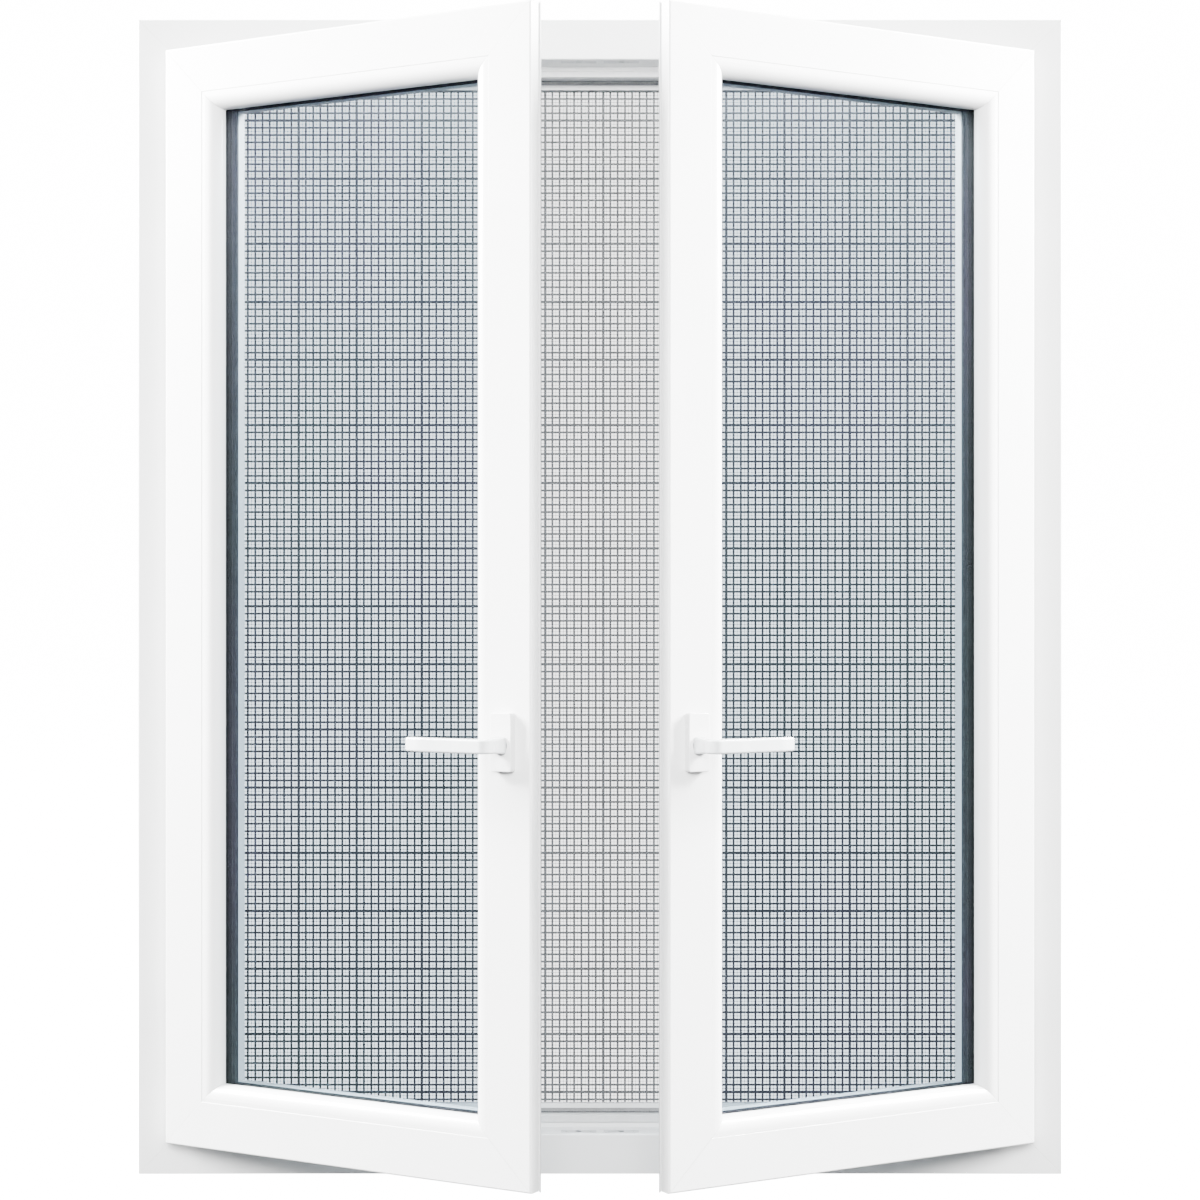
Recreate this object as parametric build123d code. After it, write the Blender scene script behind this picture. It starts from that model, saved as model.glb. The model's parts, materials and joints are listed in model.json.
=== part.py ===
# White plastic double casement window: two mirrored sashes that open into the room,
# each with a lever handle and a rack-driven bolt, and an insect screen outside.
# +X is to the right seen from the room, +Y is outwards, +Z is up.
# The origin is the middle of the frame's underside.
import math
import os

from build123d import *

# Whole window
WIDTH = 1200.0
HEIGHT = 1500.0
DEPTH = 82.0  # frame, from room face to outer face
OPEN_ANGLE = 30.0  # how far both sashes stand open as drawn

# Frame bars: a is measured inwards from the outer edge, d outwards from the room face
FRAME_LEG = 52.0  # face seen beside the sash
STOP_REACH = 67.0  # lip that the sash closes against
STOP_FACE = 46.0  # depth of the lip's front
FRAME_WALL = 4.0
STEEL_WALL = 2.0
STEEL_SHORT = 75.0  # the steel stops this far from each corner

# Sash bars, measured the same way from the sash's own edge and room face
MARGIN = 44.0  # frame left in view around a closed sash
PROUD = 22.0  # how far a closed sash stands in front of the frame
MEETING_GAP = 4.0
SASH_DEPTH = 64.0
FLANGE_WIDE, FLANGE_THICK = 20.0, 18.0
STILE = 60.0
OUTER_LIP = 80.0  # lip behind the glass
LIP_FACE = 51.0
SASH_WALL = 3.0

# Glazing: two panes held by clip-in beads
BEAD_WIDE, BEAD_THICK, BEAD_ROUND = 22.0, 21.0, 17.0
GASKET = 3.0
PANE, CAVITY = 4.0, 16.0
GLASS_EDGE = 65.0
SPACER_REACH = 79.0

# Knuckle hinges, one axis at the tip of the sash's flange
AXIS_DEPTH = 11.0  # behind the sash's room face
KNUCKLE_RADIUS, PIN_RADIUS = 6.0, 3.0
HINGE_TALL = 90.0
HINGE_HEIGHTS = (140.0, 1272.0)  # centres, above the sash's bottom edge
LEAF = 1.5
RUNNING = 0.05  # radial clearance of a turning fit

# Handle and bolts, a measured from the meeting edge
HANDLE_A = 36.0
HANDLE_Z = 530.0  # above the sash's bottom edge
SPINDLE = 7.0  # across flats
MODULE, TEETH = 1.0, 16
BACKLASH = 0.22
CHANNEL = (22.5, 29.0, 33.0, 44.0)  # a from, a to, d from, d to
FACEPLATE_SLOT = (20.0, 22.5, 30.5, 46.5)
ROD_DEPTH = (34.0, 43.0)
ROD_A = 23.2
BOLT_A, BOLT_D, BOLT_RADIUS = 25.8, 38.5, 3.0
BOLT_OUT = 7.0  # tip above the sash body when drawn back
TRAVEL = math.radians(90) * MODULE * TEETH / 2
CASE = (22.6, 52.0, 31.5, 45.5)
CASE_Z = (HANDLE_Z - 42.0, HANDLE_Z + 30.0)
CASE_WALL = 2.0
SCREW_SPACING = 43.0
COVER = (14.5, 31.5, 38.5, 10.0)  # half width, below, above and out from the spindle
LEVER_REACH = 112.0
LEVER_OUT = 44.0
GRIP_TALL, GRIP_DEEP, GRIP_ROUND = 17.4, 12.0, 3.0
NECK_TALL, NECK_WIDE = 20.5, 16.0  # where the neck leaves the cover
TIP_BACK = 5.0  # how far the tip bends back towards the sash

# Insect screen behind the frame
SCREEN_FROM, SCREEN_TO = 60.0, 75.0
SCREEN_FACE = DEPTH + 2.0
SCREEN_DEEP = 10.0
MESH_THICK = 0.3

# Fixings through the frame
FIXING_RADIUS = 3.75
FIXING_DEPTH = 30.0
JAMB_FIXINGS = (200.0, 560.0, 940.0, 1300.0)
HEAD_FIXINGS = (-300.0, 300.0)

SASH_WIDE = (WIDTH - 2 * MARGIN - MEETING_GAP) / 2
SASH_TALL = HEIGHT - 2 * MARGIN
ROOM_Y = -DEPTH / 2
AXIS_X = -(WIDTH / 2 - MARGIN)
AXIS_Y = ROOM_Y - PROUD + AXIS_DEPTH
PITCH_RADIUS = MODULE * TEETH / 2
HANDLE_X = SASH_WIDE - HANDLE_A
PANES = BEAD_THICK + GASKET  # depth of the inner pane's front
BACK_PANE = PANES + PANE + CAVITY
GASKET_BACK = BACK_PANE + PANE


# Small helpers

def outline(*corners):
    """Closed face through (a, d) or (a, d, rounding) corners."""
    points = [corner[:2] for corner in corners]
    radii = [corner[2] if len(corner) > 2 else 0 for corner in corners]
    return make_face(FilletPolyline(*points, radius=radii, close=True))


def patch(a0, a1, d0, d1):
    return Pos((a0 + a1) / 2, (d0 + d1) / 2) * Rectangle(a1 - a0, d1 - d0)


def block(x0, x1, y0, y1, z0, z1):
    centre = Pos((x0 + x1) / 2, (y0 + y1) / 2, (z0 + z1) / 2)
    return centre * Box(x1 - x0, y1 - y0, z1 - z0)


def peg(start, direction, radius, length):
    upright = (Align.CENTER, Align.CENTER, Align.MIN)
    return Plane(start, z_dir=direction) * Cylinder(radius, length, align=upright)


def screw(seat, direction, radius, length, sunk=False):
    """Screw driven along direction, with a raised head or one sunk under its seat."""
    shank = peg(seat, direction, radius, length)
    if sunk:
        upright = (Align.CENTER, Align.CENTER, Align.MIN)
        return shank + Plane(seat, z_dir=direction) * Cone(1.9 * radius, radius, 0.9 * radius, align=upright)
    back = [-part for part in direction]
    return shank + peg(seat, back, 1.9 * radius, 1.1 * radius)


def mitred_bars(section, width, height):
    """Four bars of one section round a width by height rectangle, cut at 45 degrees."""
    inner = section.bounding_box().max.X + 1
    outer = min(0, section.bounding_box().min.X)
    places = {
        "left": (Plane((0, 0, 0), x_dir=(1, 0, 0), z_dir=(0, 0, 1)), height),
        "right": (Plane((width, 0, height), x_dir=(-1, 0, 0), z_dir=(0, 0, -1)), height),
        "bottom": (Plane((width, 0, 0), x_dir=(0, 0, 1), z_dir=(-1, 0, 0)), width),
        "top": (Plane((0, 0, height), x_dir=(0, 0, -1), z_dir=(1, 0, 0)), width),
    }
    bars = {}
    for side, (plane, length) in places.items():
        run = Pos(0, 0, outer) * extrude(section, length - 2 * outer, dir=(0, 0, 1))
        corners = ((outer, outer), (inner, inner), (inner, length - inner), (outer, length - outer))
        mitre = extrude(Plane.XZ * Polygon(*corners, align=None), 2 * DEPTH, both=True)
        bars[side] = plane * (run & mitre)
    return bars


def steel_tubes(section, width, height):
    """Square-cut tubes inside the bars, stopping short of the corners."""
    keep_tall = block(0, width, 0, DEPTH, STEEL_SHORT, height - STEEL_SHORT)
    keep_wide = block(STEEL_SHORT, width - STEEL_SHORT, 0, DEPTH, 0, height)
    bars = mitred_bars(section, width, height)
    keep = {"left": keep_tall, "right": keep_tall, "bottom": keep_wide, "top": keep_wide}
    return {side: bar & keep[side] for side, bar in bars.items()}


def tube_section(a0, a1, d0, d1, wall):
    return patch(a0, a1, d0, d1) - patch(a0 + wall, a1 - wall, d0 + wall, d1 - wall)


def solids_of(shapes):
    return [solid for shape in shapes for solid in shape.solids()]


# Placing: a sash is drawn closed in its own corner frame, then swung open

def closed(shape):
    return Pos(AXIS_X, ROOM_Y - PROUD, MARGIN) * shape


def swung(shape):
    return Pos(AXIS_X, AXIS_Y, 0) * Rot(0, 0, -OPEN_ANGLE) * Pos(-AXIS_X, -AXIS_Y, 0) * closed(shape)


def in_frame(shape):
    return Pos(-WIDTH / 2, ROOM_Y, 0) * shape


def both_sides(shapes):
    return shapes + [mirror(shape, about=Plane.YZ) for shape in shapes]


# Frame

def frame_section():
    main_back = STOP_FACE + 0.5
    body = outline(
        (0, 0, 1.5),
        (FRAME_LEG, 0, 2),
        (FRAME_LEG, STOP_FACE),
        (STOP_REACH, STOP_FACE, 1),
        (STOP_REACH, DEPTH, 1.5),
        (0, DEPTH, 1.5),
    )
    inside_leg = FRAME_LEG - FRAME_WALL
    inside_lip = STOP_REACH - FRAME_WALL
    body -= patch(FRAME_WALL, inside_leg, 3, 11)
    body -= patch(FRAME_WALL, inside_leg, 13.5, main_back)
    body -= patch(FRAME_WALL, inside_lip, main_back + 3, 60)
    body -= patch(FRAME_WALL, inside_lip, 62.5, DEPTH - 3.5)
    return body


def fixing_holes():
    """Drillings for wall screws: through each jamb from the side and through the head."""
    through = FRAME_LEG + 2
    jamb = [
        peg((-1, FIXING_DEPTH, z), (1, 0, 0), FIXING_RADIUS, through) for z in JAMB_FIXINGS
    ]
    head = [
        peg((WIDTH / 2 + x, FIXING_DEPTH, HEIGHT + 1), (0, 0, -1), FIXING_RADIUS, through)
        for x in HEAD_FIXINGS
    ]
    return jamb, head


def bolt_places():
    """Where the four bolts meet head and sill, in the frame's own corner frame."""
    x = MARGIN + SASH_WIDE - BOLT_A
    y = BOLT_D - PROUD
    return [(x_side, y, z, up) for x_side in (x, WIDTH - x) for z, up in (
        (FRAME_LEG, -1), (HEIGHT - FRAME_LEG, 1))]


def keep_plates():
    """Flush steel plates that take the bolts, with their screws and the cuts they need."""
    plates, screws, cuts = [], [], []
    for x, y, z, up in bolt_places():
        plate = block(x - 23, x + 23, y - 8, y + 8, min(z, z + 2 * up), max(z, z + 2 * up))
        cuts.append(plate)
        cuts.append(peg((x, y, z), (0, 0, up), BOLT_RADIUS + 1.5, 12))
        fixings = [screw((x + side, y, z), (0, 0, up), 1.75, 3.8, sunk=True) for side in (-16, 16)]
        cuts += fixings
        plates.append(plate - peg((x, y, z - up), (0, 0, up), BOLT_RADIUS + 1, 12) - fixings)
        screws += fixings
    return plates, screws, cuts


def drains():
    """Slots through the sill's outer wall and the caps over them."""
    places = [WIDTH / 2 + x for x in (-400, 0, 400)]
    slots = [block(x - 14, x + 14, DEPTH - 5, DEPTH + 1, 24, 28) for x in places]
    caps = []
    for x in places:
        cap = block(x - 20, x + 20, DEPTH, DEPTH + 4, 19, 33)
        cap = fillet(cap.faces().sort_by(Axis.Y)[-1].edges(), 1.5)
        caps.append(cap - block(x - 14, x + 14, DEPTH, DEPTH + 2.5, 18, 29))
    return slots, caps


# Insect screen

def screen():
    back = SCREEN_FACE + SCREEN_DEEP
    bar = patch(SCREEN_FROM, SCREEN_TO, SCREEN_FACE, back)
    bar -= patch(66, 70, back - 4, back)
    bar -= patch(SCREEN_FROM + 1.5, SCREEN_TO - 1.5, SCREEN_FACE + 1.5, back - 5.5)
    brush = patch(61, 69, DEPTH, SCREEN_FACE) + patch(STOP_REACH, 69, 62, SCREEN_FACE)
    spline = patch(66.2, 69.8, back - 3.8, back)
    edge = 64.5
    mesh = block(edge, WIDTH - edge, back, back + MESH_THICK, edge, HEIGHT - edge)
    return {
        "screen_frame": list(mitred_bars(bar, WIDTH, HEIGHT).values()),
        "screen_brush_seal": list(mitred_bars(brush, WIDTH, HEIGHT).values()),
        "screen_spline": list(mitred_bars(spline, WIDTH, HEIGHT).values()),
        "screen_mesh": [mesh],
    }


def screen_hooks():
    """Bent clips screwed to the frame's outer face, each gripping the screen's edge."""
    back = SCREEN_FACE + SCREEN_DEEP
    half = 11
    profile = patch(38, 59.7, DEPTH, DEPTH + LEAF) + patch(58.2, 59.7, DEPTH, back + LEAF)
    profile += patch(58.2, 64, back, back + LEAF)
    clip = Pos(0, 0, -half) * extrude(profile, 2 * half, dir=(0, 0, 1))
    fixing = screw((46, DEPTH + LEAF, 0), (0, -1, 0), 1.75, 4.4)
    clip -= fixing
    upright = Plane((0, 0, 0), x_dir=(0, 0, 1), z_dir=(-1, 0, 0))
    downward = Plane((0, 0, HEIGHT), x_dir=(0, 0, -1), z_dir=(1, 0, 0))
    places = [Pos(0, 0, z) for z in (300, 1200)]
    places += [Plane((WIDTH, 0, z), x_dir=(-1, 0, 0), z_dir=(0, 0, -1)).location for z in (300, 1200)]
    places += [Pos(WIDTH / 2, 0, 0) * plane.location for plane in (upright, downward)]
    return [place * clip for place in places], [place * fixing for place in places]


# Hinges, drawn with the sash closed

def hinge_ends(height):
    return height - HINGE_TALL / 2, height + HINGE_TALL / 2


def hinge(height):
    """Frame leaf, sash leaf, pin, their screws and the sash's notch for one hinge."""
    low, high = hinge_ends(height)
    third = HINGE_TALL / 3
    play = 0.3
    frame_face = PROUD
    leg_side = FRAME_LEG - MARGIN
    leaf_out = block(-2, leg_side + 2, frame_face - LEAF, frame_face, low, high)
    leaf_out += block(leg_side, leg_side + 2, frame_face, frame_face + 38, low, high)
    for start in (low, high - third):
        leaf_out += block(-4, 4, AXIS_DEPTH, frame_face - LEAF / 2, start, start + third)
        leaf_out += peg((0, AXIS_DEPTH, start), (0, 0, 1), KNUCKLE_RADIUS, third)
    leaf_out -= peg((0, AXIS_DEPTH, low - 1), (0, 0, 1), PIN_RADIUS, HINGE_TALL + 2)

    start, end = low + third + play, high - third - play
    plate_back = FLANGE_THICK + LEAF
    leaf_in = block(7.5, FLANGE_WIDE, FLANGE_THICK, plate_back, low, high)
    leaf_in += block(FLANGE_WIDE - LEAF, FLANGE_WIDE, FLANGE_THICK, 60, low, high)
    leaf_in += block(0, 7.5, AXIS_DEPTH, plate_back, start, end)
    leaf_in += peg((0, AXIS_DEPTH, start), (0, 0, 1), KNUCKLE_RADIUS, end - start)
    leaf_in -= peg((0, AXIS_DEPTH, low), (0, 0, 1), PIN_RADIUS + RUNNING, HINGE_TALL)

    pin = peg((0, AXIS_DEPTH, low), (0, 0, 1), PIN_RADIUS, HINGE_TALL)
    pin += peg((0, AXIS_DEPTH, high), (0, 0, 1), KNUCKLE_RADIUS - 0.5, 2)
    pin += peg((0, AXIS_DEPTH, low - 2), (0, 0, 1), KNUCKLE_RADIUS - 0.5, 2)

    heights = [height + step for step in (-30, 0, 30)]
    frame_screws = [screw((leg_side + 2, 46, z), (-1, 0, 0), 1.75, 5.8) for z in heights]
    sash_screws = [screw((FLANGE_WIDE - LEAF, 54, z), (1, 0, 0), 1.6, 4.3) for z in heights]
    notch = block(-1, 7.5, 3.5, plate_back, low - 3, high + 3)
    return {
        "frame_leaf": leaf_out - frame_screws,
        "sash_leaf": leaf_in - sash_screws,
        "pin": pin,
        "frame_screws": frame_screws,
        "sash_screws": sash_screws,
        "notch": notch,
    }


# Sash, drawn closed in its own corner frame: x from the hinge edge, y from the room face

def sash_section():
    slot_a0, slot_a1, slot_d0, slot_d1 = FACEPLATE_SLOT
    body = outline(
        (0, 0, 2.5),
        (0, FLANGE_THICK, 1),
        (FLANGE_WIDE, FLANGE_THICK),
        (FLANGE_WIDE, SASH_DEPTH, 1),
        (OUTER_LIP, SASH_DEPTH, 1.5),
        (OUTER_LIP, LIP_FACE, 1),
        (STILE, LIP_FACE),
        (STILE, 0, 0.8),
    )
    body -= patch(STILE - 3, STILE, 9, 12)
    body -= patch(slot_a0, slot_a1, slot_d0, slot_d1)
    body -= patch(*CHANNEL)
    body -= patch(SASH_WALL, FLANGE_WIDE, SASH_WALL, FLANGE_THICK - SASH_WALL)
    body -= patch(FLANGE_WIDE + SASH_WALL, STILE - 6, SASH_WALL, 27)
    body -= patch(*sash_steel_place())
    far = OUTER_LIP - SASH_WALL
    body -= outline((25.5, LIP_FACE + 3), (far, LIP_FACE + 3), (far, SASH_DEPTH - 3), (31, SASH_DEPTH - 3))
    return body


def sash_steel_place():
    return CHANNEL[1] + 3, STILE - SASH_WALL, 29.5, 48


def from_meeting(a):
    return SASH_WIDE - a


def meeting_slope():
    """Slope along the meeting stile's back corner, which lets the sashes pass as they swing."""
    slope = outline((from_meeting(19), 49.7), (from_meeting(31), 65.3), (from_meeting(19), 65.3))
    return extrude(slope, SASH_TALL, dir=(0, 0, 1))


def stile_cuts():
    """Pocket, spindle hole and screw holes that the handle and its gear need."""
    _, case_a, _, _ = CASE
    low, high = CASE_Z
    pocket = block(from_meeting(case_a + 0.5), from_meeting(FLANGE_WIDE), 29.5, 46.5, low - 0.5, high + 0.5)
    spindle = peg((HANDLE_X, -1, HANDLE_Z), (0, 1, 0), 7, 32)
    holes = [
        peg((HANDLE_X, -1, HANDLE_Z + side * SCREW_SPACING / 2), (0, 1, 0), 2.7, 32) for side in (-1, 1)
    ]
    return [pocket, spindle] + holes


def bead_bars():
    corner = STILE + BEAD_WIDE
    bead = outline(
        (STILE, 0.5, 0.4),
        (corner, 0.5, BEAD_ROUND),
        (corner, BEAD_THICK),
        (STILE, BEAD_THICK),
    )
    bead += patch(STILE - 2.8, STILE, 9.2, 11.8)
    bead -= patch(STILE + 3, STILE + 12, 6, BEAD_THICK - 3)
    return list(mitred_bars(bead, SASH_WIDE, SASH_TALL).values())


def glazing():
    edge = GLASS_EDGE
    x0, x1, z0, z1 = edge, SASH_WIDE - edge, edge, SASH_TALL - edge
    panes = [block(x0, x1, front, front + PANE, z0, z1) for front in (PANES, BACK_PANE)]
    spacer = patch(edge + 1, SPACER_REACH, PANES + PANE, BACK_PANE)
    inner_gasket = outline((72, BEAD_THICK), (81.5, BEAD_THICK, 1), (81.5, PANES, 0.5), (72, PANES))
    outer_gasket = patch(69, 79, GASKET_BACK, LIP_FACE)
    gaskets = [
        bar
        for section in (inner_gasket, outer_gasket)
        for bar in mitred_bars(section, SASH_WIDE, SASH_TALL).values()
    ]
    packers = []
    for z in (STILE, SASH_TALL - edge):
        for x in (120, SASH_WIDE - 220):
            packers.append(block(x, x + 100, PANES, GASKET_BACK, z, z + edge - STILE))
    for x, z in ((STILE, 1200), (SASH_WIDE - edge, 120)):
        packers.append(block(x, x + edge - STILE, PANES, GASKET_BACK, z, z + 100))
    return {
        "glass_panes": panes,
        "glass_spacer": list(mitred_bars(spacer, SASH_WIDE, SASH_TALL).values()),
        "glazing_gaskets": gaskets,
        "glazing_packers": packers,
    }


def sash_seals(hinges):
    """Bulb seal behind the flange, cut away at the hinges and longer-lipped where sashes meet."""
    rim = outline((11, FLANGE_THICK), (11, 21.6, 1.5), (17, 21.6, 1.5), (17, FLANGE_THICK))
    tip = outline((-1.7, 18.4, 1), (-1.7, 21.6, 1.6), (6, 21.6, 1), (6, FLANGE_THICK), (0.6, FLANGE_THICK, 0.2))
    bars = mitred_bars(rim, SASH_WIDE, SASH_TALL)
    for low, high in (hinge_ends(height) for height in HINGE_HEIGHTS):
        bars["left"] -= block(10, 18, 17, 23, low - 3, high + 3)
    meeting = mitred_bars(tip, SASH_WIDE, SASH_TALL)["right"]
    return list(bars.values()) + [meeting]


# Bolt gear in the meeting stile

def rack_teeth(pitch_a, towards, low, high):
    """Trapezoid teeth on a pitch line, pointing towards the pinion."""
    pitch = math.pi * MODULE
    slope = math.tan(math.radians(20))
    half = (pitch / 2 - BACKLASH) / 2
    root, tip = -1.25 * MODULE, MODULE
    x_pitch = from_meeting(pitch_a)
    teeth = []
    first = math.ceil((low - HANDLE_Z) / pitch - 0.5)
    last = math.floor((high - HANDLE_Z) / pitch - 0.5)
    for index in range(first, last + 1):
        z = HANDLE_Z + (index + 0.5) * pitch
        wide, narrow = half - root * slope, half - tip * slope
        corners = (
            (x_pitch + towards * (root - 0.2), z - wide),
            (x_pitch + towards * tip, z - narrow),
            (x_pitch + towards * tip, z + narrow),
            (x_pitch + towards * (root - 0.2), z + wide),
        )
        face = Plane.XZ * make_face(Polyline(*corners, close=True))
        teeth.append(Pos(0, ROD_DEPTH[0], 0) * extrude(face, ROD_DEPTH[1] - ROD_DEPTH[0], dir=(0, 1, 0)))
    return teeth


def rod_strip(a0, a1, low, high):
    return block(from_meeting(a1), from_meeting(a0), *ROD_DEPTH, low, high)


def rod_slot(z, up):
    """Slot that lets the rod slide past a faceplate screw."""
    ends = (z - TRAVEL - 3.2, z + 3.2) if up else (z - 3.2, z + TRAVEL + 3.2)
    return block(from_meeting(30), from_meeting(20), BOLT_D - 2.2, BOLT_D + 2.2, *ends)


FACEPLATE_SCREWS = ((90, False), (400, False), (680, True), (1000, True), (1320, True))


def bolt_rods():
    root_near = HANDLE_A - PITCH_RADIUS - 1.25 * MODULE
    root_far = HANDLE_A + PITCH_RADIUS + 1.25 * MODULE
    tip_top = SASH_TALL - FLANGE_WIDE + BOLT_OUT
    tip_bottom = FLANGE_WIDE - BOLT_OUT
    bolt_x = from_meeting(BOLT_A)

    top = rod_strip(ROD_A, root_near, HANDLE_Z - 16, tip_top - 30)
    top += rack_teeth(HANDLE_A - PITCH_RADIUS, -1, HANDLE_Z - 16, HANDLE_Z + 4)
    top += peg((bolt_x, BOLT_D, tip_top - 45), (0, 0, 1), BOLT_RADIUS, 45)

    bottom = rod_strip(root_far, root_far + 3.7, HANDLE_Z - 26, HANDLE_Z + 16)
    bottom += rack_teeth(HANDLE_A + PITCH_RADIUS, 1, HANDLE_Z - 4, HANDLE_Z + 16)
    bottom += rod_strip(ROD_A, root_far + 3.7, HANDLE_Z - 26, HANDLE_Z - 20)
    bottom += rod_strip(ROD_A, root_near, tip_bottom + 30, HANDLE_Z - 20)
    bottom += peg((bolt_x, BOLT_D, tip_bottom), (0, 0, 1), BOLT_RADIUS, 45)

    for z, up in FACEPLATE_SCREWS:
        if up:
            top -= rod_slot(z, up)
        else:
            bottom -= rod_slot(z, up)
    return top, bottom


def gear_case():
    a0, a1, d0, d1 = CASE
    low, high = CASE_Z
    case = block(from_meeting(a1), from_meeting(a0), d0, d1, low, high)
    inside = (d0 + CASE_WALL, d1 - CASE_WALL)
    case -= block(from_meeting(a1 - 1.5), from_meeting(20), *inside, low + CASE_WALL, high - CASE_WALL)
    case -= block(from_meeting(27.5), from_meeting(20), *inside, low - 1, high + 1)
    case -= peg((HANDLE_X, d0 - 1, HANDLE_Z), (0, 1, 0), 6.2 + RUNNING, d1 - d0 + 2)
    return case


def pinion():
    """Involute gear with a square hole, running in the case on its hubs."""
    radius = PITCH_RADIUS
    base = radius * math.cos(math.radians(20))
    root, tip = radius - 1.25 * MODULE, radius + MODULE

    def half_angle(at):
        pressure = math.acos(min(1, base / at))
        involute = math.tan(pressure) - pressure
        at_pitch = math.tan(math.radians(20)) - math.radians(20)
        return (math.pi * MODULE / 2 - BACKLASH) / (2 * radius) + at_pitch - involute

    flank = [base, (base + radius) / 2, radius, (radius + tip) / 2, tip]
    rising = [(at, half_angle(at)) for at in [root - 0.3] + flank]
    polar = [(at, -angle) for at, angle in rising] + [(at, angle) for at, angle in reversed(rising)]
    tooth = make_face(Polyline(*[(at * math.cos(t), at * math.sin(t)) for at, t in polar], close=True))
    gear = Circle(root)
    for index in range(TEETH):
        gear += Rot(0, 0, 360 * index / TEETH) * tooth
    _, _, d0, d1 = CASE
    axis = Plane((HANDLE_X, 0, HANDLE_Z), x_dir=(1, 0, 0), z_dir=(0, 1, 0))
    wheel = axis * (Pos(0, 0, ROD_DEPTH[0] + 0.2) * extrude(gear, 8.6, dir=(0, 0, 1)))
    wheel += peg((HANDLE_X, d0 + 0.2, HANDLE_Z), (0, 1, 0), 6.2, d1 - d0 - 0.4)
    return wheel - spindle_bar(d0 - 1, d1 + 1)


# Handle

def spindle_bar(front, back):
    half = SPINDLE / 2
    return block(HANDLE_X - half, HANDLE_X + half, front, back, HANDLE_Z - half, HANDLE_Z + half)


def handle():
    half, below, above, out = COVER
    x, z = HANDLE_X, HANDLE_Z
    screw_heights = [z + side * SCREW_SPACING / 2 for side in (-1, 1)]
    screws = [screw((x, -4, height), (0, 1, 0), 2.5, CASE[2] + CASE_WALL + 3.9) for height in screw_heights]

    def plate(inset, thick, rounding):
        """Upright plate with rounded corners, standing forward from the sash's face."""
        shape = block(x - half + inset, x + half - inset, -thick, 0, z - below + inset, z + above - inset)
        return fillet(shape.edges().filter_by(Axis.Y), rounding)

    wall = 1.5
    base = plate(wall, 4, 2)
    base += peg((x, -out, z), (0, 1, 0), 9, out)
    base -= peg((x, -out - 1, z), (0, 1, 0), 6.4 + RUNNING, out + 2)
    base -= screws

    cover = plate(0, out, 3.5)
    cover = fillet(cover.faces().sort_by(Axis.Y)[0].edges(), 1.2)
    cover -= plate(wall, out - wall, 2) + peg((x, -out - 1, z), (0, 1, 0), 9 + RUNNING, out)

    gap, inside = 0.3, -28.0
    tip = x - LEVER_REACH
    path = FilletPolyline(
        (x, -30, z), (x, -LEVER_OUT, z), (tip + 20, -LEVER_OUT, z), (tip, TIP_BACK - LEVER_OUT, z), radius=[7, 40]
    )

    def across(front, wide, tall):
        flat = Plane((x, -front, z), x_dir=(1, 0, 0), z_dir=(0, -1, 0))
        return flat * RectangleRounded(wide, tall, GRIP_ROUND)

    lever = sweep(across(30, GRIP_DEEP, GRIP_TALL), path=path)
    lever = fillet(lever.faces().sort_by(Axis.X)[0].edges(), 2.5)
    lever += loft([across(out + gap, NECK_WIDE, NECK_TALL), across(30, GRIP_DEEP, GRIP_TALL)])
    lever += peg((x, -3, z), (0, -1, 0), 6.4, out)
    lever -= spindle_bar(inside, 0)
    return {
        "handle_base": [base],
        "handle_cover": [cover],
        "handle_lever": [lever],
        "handle_spindle": [spindle_bar(inside, CASE[3] - 0.2)],
    }, screws


# Assembly

def build_frame(hinges):
    bars = mitred_bars(frame_section(), WIDTH, HEIGHT)
    main_chamber = (FRAME_WALL, FRAME_LEG - FRAME_WALL, 13.5, STOP_FACE + 0.5)
    steel = steel_tubes(tube_section(*main_chamber, STEEL_WALL), WIDTH, HEIGHT)
    seal = outline((58, 42.4, 1.4), (66.5, 42.4, 1.4), (66.5, STOP_FACE), (58, STOP_FACE))
    plates, plate_screws, plate_cuts = keep_plates()
    clips, clip_screws = screen_hooks()
    slots, caps = drains()
    jamb_holes, head_holes = fixing_holes()

    flip = Plane.YZ.offset(WIDTH / 2)
    right_holes = [mirror(hole, about=flip) for hole in jamb_holes]
    hinge_screws = [screw_ for one in hinges for screw_ in one["frame_screws"]]
    to_frame = Pos(MARGIN, -PROUD, MARGIN)
    left_hinge = [to_frame * screw_ for screw_ in hinge_screws]
    right_hinge = [mirror(screw_, about=flip) for screw_ in left_hinge]
    cuts = {
        "left": jamb_holes + left_hinge + clip_screws,
        "right": right_holes + right_hinge + clip_screws,
        "top": head_holes + plate_cuts + clip_screws,
        "bottom": plate_cuts + clip_screws + slots,
    }
    for side, cutters in cuts.items():
        bars[side] -= cutters
        steel[side] -= [cutter for cutter in cutters if cutter not in slots]

    nodes = {
        "frame_left_jamb": [bars["left"]],
        "frame_right_jamb": [bars["right"]],
        "frame_head": [bars["top"]],
        "frame_sill": [bars["bottom"]],
        "frame_reinforcements": list(steel.values()),
        "frame_seal": list(mitred_bars(seal, WIDTH, HEIGHT).values()),
        "bolt_keep_plates": plates,
        "drain_caps": caps,
        "screen_hooks": clips,
        "frame_screws": plate_screws + clip_screws,
    }
    nodes.update(screen())
    nodes = {name: [in_frame(shape) for shape in shapes] for name, shapes in nodes.items()}
    nodes["frame_screws"] += both_sides([closed(screw_) for screw_ in hinge_screws])
    nodes["hinge_frame_leaves"] = both_sides([closed(one["frame_leaf"]) for one in hinges])
    nodes["hinge_pins"] = both_sides([closed(one["pin"]) for one in hinges])
    return nodes


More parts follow.
